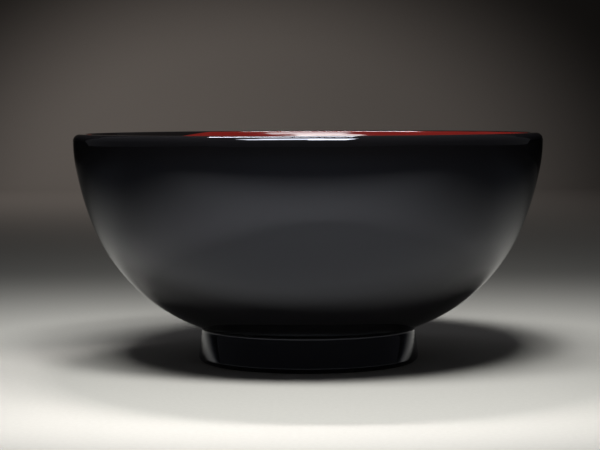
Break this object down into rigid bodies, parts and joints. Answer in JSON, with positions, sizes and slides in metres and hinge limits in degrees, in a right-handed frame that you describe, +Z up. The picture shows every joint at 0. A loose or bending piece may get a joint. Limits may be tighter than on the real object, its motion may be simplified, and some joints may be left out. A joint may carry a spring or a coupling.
{
  "type": "lacquered soup bowl",
  "caption": "Open round soup bowl on a slightly flared ring foot: turned wood under hard ground, glossy black lacquer over lip and outside, red lacquer inside.",
  "frame": {"origin": "centre of the foot's ring, in the plane that it stands on", "axes": "+Z up along the axis on which the bowl is turned, through the open mouth; +Y away from the picture's camera, +X to its right"},
  "size_m": [0.121, 0.121, 0.059],
  "materials": {
    "turned_wood": "turned, bare, under the ground coat",
    "hard_ground": "matt, rubbed flat, hidden under the lacquer",
    "red_lacquer": "high gloss red lacquer",
    "black_lacquer": "high gloss black lacquer"
  },
  "bodies": {
    "root": {"wood_core": "turned_wood", "inner_ground": "hard_ground", "outer_ground": "hard_ground", "red_lacquer": "red_lacquer", "black_lacquer": "black_lacquer", "foot_lacquer": "black_lacquer"}
  },
  "joints": []
}
